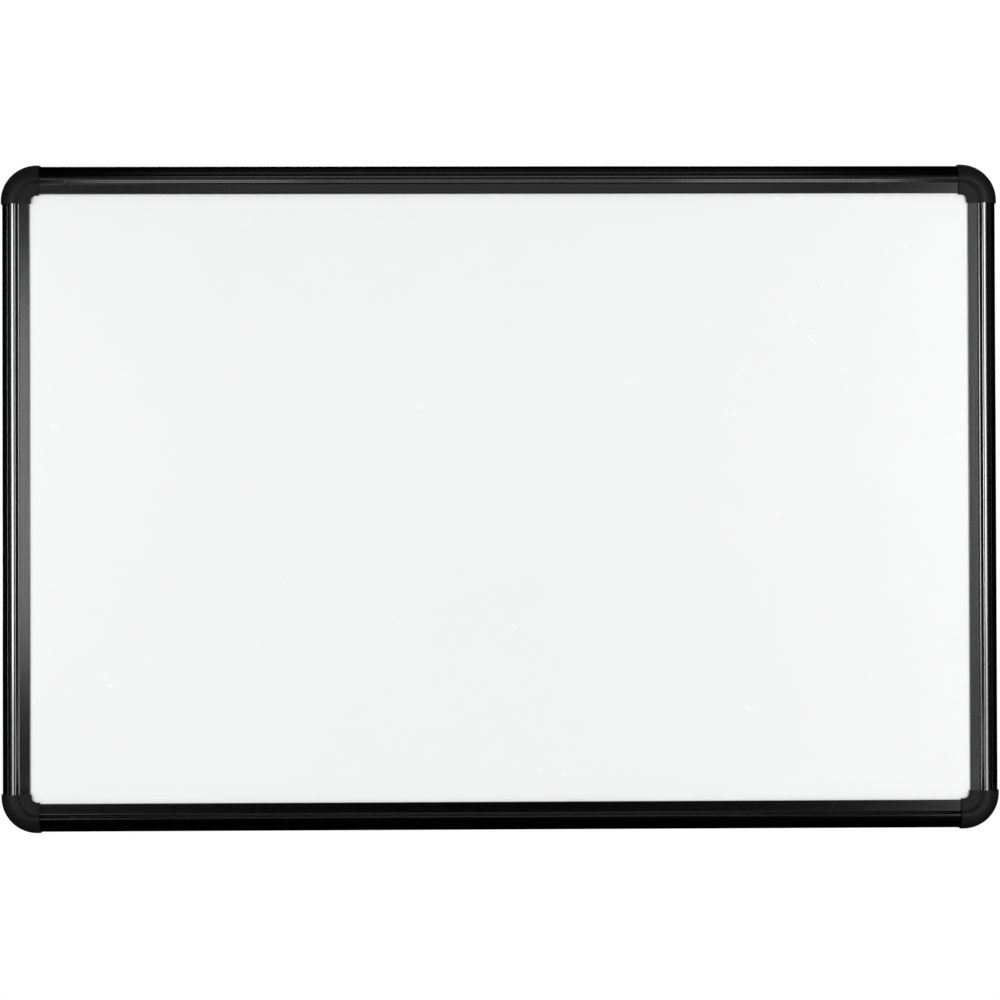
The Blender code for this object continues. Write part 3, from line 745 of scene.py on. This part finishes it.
class WHITEBOARD_OT_rails(bpy.types.Operator):
    """Add the four extruded rails with their ribs, grooves, access holes and dents"""

    bl_idname = "whiteboard.rails"
    bl_label = "Rails"

    # distance of each dent from the outer edge of the next rail: at the -X and the +X end of the
    # rail as it is modelled under the top edge
    dents = {"top_rail": (0.060, 0.071), "bottom_rail": (0.065, 0.063)}

    def stations(self, half, dents):
        """Heights of the section's loops, close together round each dent."""
        reach = DENT_REACH * bpy.context.scene.whiteboard_rail.dent_radius
        heights = {-half, half}
        for dent in dents:
            for part in steps(20):
                heights.add(dent + (2 * part - 1) * reach)
        return sorted(heights)

    def press(self, shape, dents):
        """Presses shallow oval dents with slightly raised rims into the foot of the bead."""
        rail = bpy.context.scene.whiteboard_rail
        rim_height = 0.2 * rail.dent_depth
        narrowing, hollow_fall, rim_fall = 1.3, 3.0, 12.0
        for vert in shape.verts:
            if vert.co.y < rail.flange_depth - rail.flange_thickness - rail.wall:
                continue
            for dent in dents:
                across = vert.co.x - rail.dent_across
                along = (vert.co.z - dent) * narrowing
                reach = Vector((across, along)).length / rail.dent_radius
                if reach < DENT_REACH:
                    vert.co.y -= rail.dent_depth * math.exp(-hollow_fall * reach ** 2)
                    vert.co.y += rim_height * math.exp(-rim_fall * (reach - 1.0) ** 2)

    def rail_mesh(self, outer_length, dent_places):
        """A rail under the middle of the top edge, for an edge of the board of a given length."""
        rail = bpy.context.scene.whiteboard_rail
        half = outer_length / 2 - rail_end()
        dents = []
        if dent_places:
            dents = [outer_length / 2 - dent_places[0], dent_places[1] - outer_length / 2]
        shape = prism([rail_outline(), rail_hollow()], self.stations(half, dents))
        self.press(shape, dents)
        bmesh.ops.transform(shape, verts=shape.verts, matrix=UNDER_TOP_EDGE)
        across = bpy.context.scene.whiteboard_screw.set_across
        tools = []
        for side in (-1, 1):
            place = side * (outer_length / 2 - set_screw_place())
            hole = bar(rail.access_radius, -rail.wall, 2 * rail.wall, place, across)
            tools.append(to_mesh(hole, "access_hole"))
        return combine(to_mesh(shape, "rail"), tools)

    def execute(self, context):
        middle, width, height = board()
        lengthways, crossways = 8.0, 2600.0
        across_board = black_anodising("anodised_rail_level", (lengthways, crossways, crossways))
        up_board = black_anodising("anodised_rail_upright", (crossways, crossways, lengthways))
        rails = (
            ("top_rail", width, across_board),
            ("right_rail", height, up_board),
            ("bottom_rail", width, across_board),
            ("left_rail", height, up_board),
        )
        for turns, (name, outer_length, finish) in enumerate(rails):
            mesh = self.rail_mesh(outer_length, self.dents.get(name))
            add_piece(name + "_extrusion", mesh, edge_matrix(turns), finish, "board", [name])
        return {"FINISHED"}


class WHITEBOARD_OT_caps(bpy.types.Operator):
    """Add the four moulded corner caps"""

    bl_idname = "whiteboard.caps"
    bl_label = "Corner Caps"

    def cap_mesh(self):
        """Hollow shell with rounded rims and a bored boss for the cap's screw."""
        corner = bpy.context.scene.whiteboard_corner
        screw = bpy.context.scene.whiteboard_screw
        outside = cap_line(corner.proud, corner.lip_proud)
        inside = cap_line(corner.gap, corner.gap)
        shell = swept_corner(outside + inside[::-1])
        soften(shell, sharp_edges(shell), corner.rim_radius, 3)
        skin_middle = (corner.gap + corner.proud) / 2
        filled = cap_line(skin_middle, skin_middle) + [(rail_width() / 2, corner.rear)]
        envelope = to_mesh(swept_corner(filled), "envelope")
        place = cap_screw_place()
        foot = corner.key_front + corner.gap
        past_skin = crown_depth() + 0.005
        boss = to_mesh(bar(corner.boss_radius, foot, past_skin, place, place), "boss")
        boss = combine(boss, [envelope], "INTERSECT")
        pilot_end = screw.cap_tip + corner.gap
        pilot = bar(screw.cap_radius + corner.gap, corner.key_front, pilot_end, place, place)
        shell = combine(to_mesh(shell, "cap"), [boss], "UNION")
        return combine(shell, [to_mesh(pilot, "pilot")])

    def execute(self, context):
        add_at_corners("cap", "moulding", self.cap_mesh(), black_plastic())
        return {"FINISHED"}


class WHITEBOARD_OT_keys(bpy.types.Operator):
    """Add the four die-cast corner keys"""

    bl_idname = "whiteboard.keys"
    bl_label = "Corner Keys"

    def outline(self):
        """L-shape whose outer corner follows the cap's arc."""
        corner = bpy.context.scene.whiteboard_corner
        centre = turn_centre()
        radius = centre - corner.key_outer
        end = rail_end() + corner.key_reach
        inner = key_inner()
        arc = []
        for part in steps(24):
            angle = QUARTER * part
            arc.append((centre - radius * math.cos(angle), radius * math.sin(angle) - centre))
        legs = [
            arc[-1],
            (end, -corner.key_outer),
            (end, -inner),
            (inner, -inner),
            (inner, -end),
            (corner.key_outer, -end),
            arc[0],
        ]
        leg_radius = 0.0012
        return arc + rounded(legs, leg_radius, 5)[1:-1]

    def key_mesh(self):
        """Casting with two tapped holes, and a recessed hole in its elbow."""
        corner = bpy.context.scene.whiteboard_corner
        screw = bpy.context.scene.whiteboard_screw
        shape = prism([self.outline()], [corner.key_rear, corner.key_front])
        soften(shape, sharp_edges(shape), corner.key_edge)
        bmesh.ops.transform(shape, verts=shape.verts, matrix=ALONG_DEPTH)
        elbow = (cap_screw_place(), cap_screw_place())
        far, near = set_screw_place(), screw.set_across
        past_face = 0.001
        low = corner.key_rear - past_face
        high = corner.key_front + past_face
        tapped = screw.set_radius + corner.gap
        tools = [
            bar(tapped, low, high, far, near),
            bar(tapped, low, high, near, far),
            bar(corner.spot_radius, low, corner.spot_depth, *elbow),
            bar(screw.cap_radius + corner.gap, low, high, *elbow),
        ]
        return combine(to_mesh(shape, "key"), [to_mesh(tool, "key_hole") for tool in tools])

    def execute(self, context):
        add_at_corners("key", "casting", self.key_mesh(), die_cast_alloy())
        return {"FINISHED"}


def thread(radius, top, bottom):
    """Outer line of a threaded shank, down from its top, as (radius, height)."""
    screw = bpy.context.scene.whiteboard_screw
    turns = int((top - bottom) / screw.thread_pitch)
    line = []
    for turn in range(turns):
        crest = top - (turn + 0.25) * screw.thread_pitch
        line.append((radius, crest))
        line.append((radius - screw.thread_depth, crest - screw.thread_pitch / 2))
    return line


class WHITEBOARD_OT_screws(bpy.types.Operator):
    """Add the set screws in the keys and the screws that hold the caps"""

    bl_idname = "whiteboard.screws"
    bl_label = "Screws"

    def set_screw_mesh(self):
        """Hexagon-socket set screw with a flat point; its socket faces the wall."""
        screw = bpy.context.scene.whiteboard_screw
        point = 0.0007
        radius = screw.set_radius
        profile = [(0.0, screw.set_front), (radius - point, screw.set_front)]
        profile += thread(radius, screw.set_front - point, screw.set_rear + point / 2)
        profile += [(radius - point / 2, screw.set_rear), (0.0, screw.set_rear)]
        shape = turned_piece(profile, 32)
        socket = bmesh.new()
        bmesh.ops.create_cone(
            socket, cap_ends=True, segments=6, radius1=screw.socket_radius,
            radius2=screw.socket_radius, depth=2 * screw.socket_depth)
        bmesh.ops.translate(socket, verts=socket.verts, vec=(0.0, 0.0, screw.set_rear))
        mesh = combine(to_mesh(shape, "set_screw"), [to_mesh(socket, "socket")])
        mesh.transform(ALONG_DEPTH)
        return mesh

    def cross_recess(self, rear):
        """Tapered cross for the driver."""
        wide, thin, deep, taper = 0.0030, 0.0007, 0.0022, 0.35
        half_diagonal = wide / math.sqrt(2)
        tools = []
        for turn in (0.0, QUARTER):
            blade = bmesh.new()
            bmesh.ops.create_cone(
                blade, cap_ends=True, segments=4, radius1=half_diagonal,
                radius2=half_diagonal * taper, depth=deep)
            bmesh.ops.rotate(blade, verts=blade.verts, matrix=Matrix.Rotation(QUARTER / 2, 3, "Z"))
            bmesh.ops.scale(blade, verts=blade.verts, vec=(1.0, thin / wide, 1.0))
            bmesh.ops.rotate(blade, verts=blade.verts, matrix=Matrix.Rotation(turn, 3, "Z"))
            bmesh.ops.translate(blade, verts=blade.verts, vec=(0.0, 0.0, rear + deep / 4))
            tools.append(to_mesh(blade, "blade"))
        return tools

    def cap_screw_mesh(self):
        """Pan-head thread-forming screw, its head towards the wall."""
        screw = bpy.context.scene.whiteboard_screw
        corner = bpy.context.scene.whiteboard_corner
        tip_part, tip_length, plain_shank = 0.4, 0.0012, 0.0008
        head_side, head_rounding = 0.0005, 0.0012
        front = corner.spot_depth - corner.gap
        rear = front - screw.head_height
        radius = screw.cap_radius
        profile = [(0.0, screw.cap_tip), (radius * tip_part, screw.cap_tip)]
        profile += thread(radius, screw.cap_tip - tip_length, front + plain_shank)
        profile += [(radius, front), (screw.head_radius, front)]
        for part in steps(6):
            angle = QUARTER * part
            reach = screw.head_radius - head_rounding * (1 - math.cos(angle))
            rise = (screw.head_height - head_side) * math.sin(angle)
            profile.append((reach, front - head_side - rise))
        profile.append((0.0, rear))
        mesh = combine(to_mesh(turned_piece(profile, 40), "cap_screw"), self.cross_recess(rear))
        mesh.transform(ALONG_DEPTH)
        return mesh

    def execute(self, context):
        screw = bpy.context.scene.whiteboard_screw
        finish = zinc_plating()
        set_screw = self.set_screw_mesh()
        cap_screw = self.cap_screw_mesh()
        legs = {"a": (set_screw_place(), screw.set_across), "b": (screw.set_across, set_screw_place())}
        for corner in CORNER_TURNS:
            at = corner_matrix(corner)
            for leg, (x, z) in legs.items():
                node = corner + "_set_screw_" + leg
                place = at @ Matrix.Translation((x, 0.0, -z))
                add_piece(node + "_threaded", set_screw, place, finish, "board", [node])
            node = corner + "_cap_screw"
            place = at @ Matrix.Translation((cap_screw_place(), 0.0, -cap_screw_place()))
            add_piece(node + "_threaded", cap_screw, place, finish, "board", [node])
        return {"FINISHED"}


class WHITEBOARD_OT_clips(bpy.types.Operator):
    """Add the four bent wall clips that slide in the rails' rear grooves"""

    bl_idname = "whiteboard.clips"
    bl_label = "Wall Clips"

    def outline(self, end):
        """Z-shaped strip with rounded bends."""
        clip = bpy.context.scene.whiteboard_clip
        rail = bpy.context.scene.whiteboard_rail
        hook_rear = (rail.hook_thickness + rail.rear_flange_depth - clip.thickness) / 2
        hook_front = hook_rear + clip.thickness
        bend_end = clip.bend_start + clip.bend_run
        shift = clip.thickness * math.tan(math.atan2(hook_rear, clip.bend_run) / 2)
        front = rounded(
            [
                (clip.hook_start, hook_front),
                (clip.bend_start + shift, hook_front),
                (bend_end + shift, clip.thickness),
                (end, clip.thickness),
            ], clip.bend_radius, 6)
        rear = rounded(
            [
                (end, 0.0),
                (bend_end, 0.0),
                (clip.bend_start, hook_rear),
                (clip.hook_start, hook_rear),
            ], clip.bend_radius, 6)
        return front + rear

    def slot_outline(self):
        """Slot with round ends, round its own middle."""
        clip = bpy.context.scene.whiteboard_clip
        radius = clip.slot_width / 2
        reach = (clip.slot_length - clip.slot_width) / 2
        angles = [math.pi * part for part in steps(16)]
        top = [(radius * math.cos(a), reach + radius * math.sin(a)) for a in angles]
        return top + [(-x, -y) for x, y in top]

    def clip_mesh(self, width, end):
        """A clip under the middle of the top edge, of a given width and reach across the board."""
        clip = bpy.context.scene.whiteboard_clip
        past_plate = 0.004
        shape = prism([self.outline(end)], [-width / 2, width / 2])
        bmesh.ops.transform(shape, verts=shape.verts, matrix=UNDER_TOP_EDGE)
        free = []
        for edge in shape.edges:
            first, second = (vert.co for vert in edge.verts)
            at_end = max(first.z, second.z) < clip.edge - end
            if at_end and abs(first.x - second.x) < clip.edge:
                free.append(edge)
        soften(shape, free, clip.corner, 8)
        slot = prism([self.slot_outline()], [-past_plate, past_plate])
        place = Matrix.Translation((0.0, 0.0, -clip.slot_across)) @ ALONG_DEPTH
        bmesh.ops.transform(slot, verts=slot.verts, matrix=place)
        cut = combine(to_mesh(shape, "clip"), [to_mesh(slot, "slot")])
        finished = bmesh.new()
        finished.from_mesh(cut)
        bmesh.ops.dissolve_limit(
            finished, angle_limit=math.radians(1), verts=finished.verts, edges=finished.edges)
        soften(finished, sharp_edges(finished), clip.edge)
        # a small angle keeps the plate's faces flat beside its rounded edges
        return to_mesh(finished, "clip", sharp=15)

    def execute(self, context):
        middle = board()[0]
        low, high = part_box("top_left_clip")
        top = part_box("top_rail")[1].z
        mesh = self.clip_mesh(high.x - low.x, top - low.z)
        finish = galvanising()
        for corner in CORNER_TURNS:
            node = corner + "_clip"
            low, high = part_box(node)
            turns = 0 if corner.startswith("top") else 2
            side = 1 if turns == 0 else -1
            along = side * ((low.x + high.x) / 2 - middle.x)
            place = edge_matrix(turns, along)
            add_piece(node + "_bent_strip", mesh, place, finish, node, [node])
        return {"FINISHED"}


class WHITEBOARD_OT_stage(bpy.types.Operator):
    """Add the pale floor, the soft studio lights and the camera"""

    bl_idname = "whiteboard.stage"
    bl_label = "Stage"

    def softbox(self, name, size, power, matrix):
        """A rectangular light that shines along its own -Z and isn't seen by the camera."""
        light = bpy.data.lights.new(name, "AREA")
        light.shape = "RECTANGLE"
        light.size, light.size_y = size
        light.energy = power
        holder = bpy.data.objects.new(name, light)
        holder.visible_camera = False
        holder.matrix_world = matrix
        bpy.context.scene.collection.objects.link(holder)
        return holder

    def aimed(self, middle, turn, rise, distance):
        """Matrix of a light that is turned and raised about the board's middle and aimed at it."""
        across, up = math.radians(turn), math.radians(rise)
        away = Vector((
            math.sin(across) * math.cos(up), -math.cos(across) * math.cos(up), math.sin(up)))
        aim = (-away).to_track_quat("-Z", "Y").to_matrix().to_4x4()
        return Matrix.Translation(middle + away * distance) @ aim

    def lights(self, middle):
        """Softboxes round the board: turn and rise in degrees, size, and power in watts."""
        softboxes = {
            "left_tall": (-44.0, 0.0, (0.45, 1.5), 6.0),
            "left_short": (-43.0, 3.0, (0.45, 0.7), 7.4),
            "left_near": (-22.4, 2.0, (0.26, 0.6), 0.55),
            "left_low": (-46.0, -25.0, (0.4, 0.4), 1.0),
            "right_tall": (38.5, 0.0, (0.70, 1.5), 8.5),
            "right_short": (38.0, 5.0, (0.60, 0.7), 4.5),
            "right_high": (46.0, 25.0, (0.4, 0.4), 2.5),
            "right_low": (46.0, -25.0, (0.4, 0.4), 2.5),
            "top_near": (0.0, 18.0, (1.0, 0.35), 0.2),
            "top_far": (0.0, 40.0, (1.0, 0.35), 0.45),
            "top_high": (0.0, 65.0, (1.0, 0.35), 0.12),
            "rear_left": (-148.0, 15.0, (1.1, 1.4), 16.0),
            "rear_right": (150.0, 25.0, (1.1, 1.4), 14.0),
        }
        distance = bpy.context.scene.whiteboard_stage.light_distance
        for name, (turn, rise, size, power) in softboxes.items():
            self.softbox(name, size, power, self.aimed(middle, turn, rise, distance))

    def overhead(self, middle):
        """A wide light over the floor, which leaves no reflection on the board."""
        stage = bpy.context.scene.whiteboard_stage
        matrix = Matrix.Translation(middle + Vector((0.0, 0.0, stage.overhead_height)))
        size = (3.0, 3.0)
        self.softbox("overhead", size, stage.overhead_power, matrix).visible_glossy = False

    def reflectors(self, middle):
        """Faint glows under the board, turned away from it, for the top rail's inner slope."""
        forward, lift, length_forward, turn_away = 0.2, 0.01, 0.24, math.radians(9.0)
        tilt = Matrix.Rotation(math.pi + turn_away, 4, "X")
        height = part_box("bottom_rail")[0].z + lift
        cards = {
            "reflector_left": (-0.34, 0.25, 0.20),
            "reflector_middle": (0.0, 0.40, 0.16),
            "reflector_right": (0.34, 0.25, 0.25),
        }
        for name, (across, width, power) in cards.items():
            matrix = Matrix.Translation((middle.x + across, -forward, height)) @ tilt
            card = self.softbox(name, (width, length_forward), power, matrix)
            card.visible_diffuse = False

    def surroundings(self):
        """White behind the object, and a dimmer even glow that leaves no reflections."""
        world = bpy.data.worlds.new("studio")
        bpy.context.scene.world = world
        world.use_nodes = True
        world.cycles_visibility.glossy = False
        white = (1.0, 1.0, 1.0, 1.0)
        nodes = world.node_tree.nodes
        links = world.node_tree.links
        room = nodes["Background"]
        room.inputs["Color"].default_value = white
        room.inputs["Strength"].default_value = 0.28
        backdrop = nodes.new("ShaderNodeBackground")
        backdrop.inputs["Color"].default_value = white
        backdrop.inputs["Strength"].default_value = 1.0
        mix = nodes.new("ShaderNodeMixShader")
        rays = nodes.new("ShaderNodeLightPath")
        links.new(rays.outputs["Is Camera Ray"], mix.inputs["Fac"])
        links.new(room.outputs["Background"], mix.inputs[1])
        links.new(backdrop.outputs["Background"], mix.inputs[2])
        links.new(mix.outputs["Shader"], nodes["World Output"].inputs["Surface"])

    def floor(self, middle):
        """A plain floor that reaches further in front of the board than behind it."""
        stage = bpy.context.scene.whiteboard_stage
        half_width, half_length, forward = 4.0, 3.5, 1.0
        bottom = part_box("bottom_rail")[0].z - stage.floor_drop
        shape = bmesh.new()
        bmesh.ops.create_grid(shape, x_segments=8, y_segments=8, size=1.0)
        bmesh.ops.scale(shape, verts=shape.verts, vec=(half_width, half_length, 1.0))
        bmesh.ops.translate(shape, verts=shape.verts, vec=(middle.x, -forward, bottom))
        mesh = to_mesh(shape, "floor")
        mesh.materials.append(studio_floor())
        floor = bpy.data.objects.new("floor", mesh)
        floor.visible_glossy = False
        bpy.context.scene.collection.objects.link(floor)

    def camera(self, middle):
        """A long lens, almost square on to the board."""
        stage = bpy.context.scene.whiteboard_stage
        data = bpy.data.cameras.new("camera")
        data.lens = stage.focal
        data.clip_start = 0.05
        camera = bpy.data.objects.new("camera", data)
        bpy.context.scene.collection.objects.link(camera)
        bpy.context.scene.camera = camera
        offset = Vector((-stage.camera_left, -stage.camera_distance, -stage.camera_below))
        turned = Matrix.Translation(middle + offset)
        for axis, degrees in CAMERA_TURNS.items():
            turned @= Matrix.Rotation(math.radians(degrees), 4, axis)
        camera.matrix_world = turned @ ALONG_DEPTH

    def execute(self, context):
        middle = board()[0]
        context.scene.view_settings.view_transform = "Standard"
        self.surroundings()
        self.floor(middle)
        self.camera(middle)
        self.lights(middle)
        self.overhead(middle)
        self.reflectors(middle)
        return {"FINISHED"}


class WHITEBOARD_PT_pieces(bpy.types.Panel):
    """Lists the operators that build the whiteboard, and their sizes"""

    bl_idname = "WHITEBOARD_PT_pieces"
    bl_label = "Framed Whiteboard"
    bl_space_type = "VIEW_3D"
    bl_region_type = "UI"
    bl_category = "Whiteboard"

    def draw(self, context):
        for operator in OPERATORS:
            self.layout.operator(operator.bl_idname)
        for group, kind in PROPERTY_GROUPS.items():
            box = self.layout.box()
            for name in kind.__annotations__:
                box.prop(getattr(context.scene, group), name)


OPERATORS = (
    WHITEBOARD_OT_panel,
    WHITEBOARD_OT_rails,
    WHITEBOARD_OT_caps,
    WHITEBOARD_OT_keys,
    WHITEBOARD_OT_screws,
    WHITEBOARD_OT_clips,
    WHITEBOARD_OT_stage,
)


def register():
    for group in PROPERTY_GROUPS.values():
        bpy.utils.register_class(group)
    for name, group in PROPERTY_GROUPS.items():
        setattr(bpy.types.Scene, name, PointerProperty(type=group))
    for kind in (*OPERATORS, WHITEBOARD_PT_pieces):
        bpy.utils.register_class(kind)


def unregister():
    for kind in reversed((*OPERATORS, WHITEBOARD_PT_pieces)):
        bpy.utils.unregister_class(kind)
    for name, group in PROPERTY_GROUPS.items():
        delattr(bpy.types.Scene, name)
        bpy.utils.unregister_class(group)


def main():
    register()
    bpy.ops.whiteboard.panel()
    bpy.ops.whiteboard.rails()
    bpy.ops.whiteboard.caps()
    bpy.ops.whiteboard.keys()
    bpy.ops.whiteboard.screws()
    bpy.ops.whiteboard.clips()
    bpy.ops.whiteboard.stage()


if __name__ == "__main__":
    main()
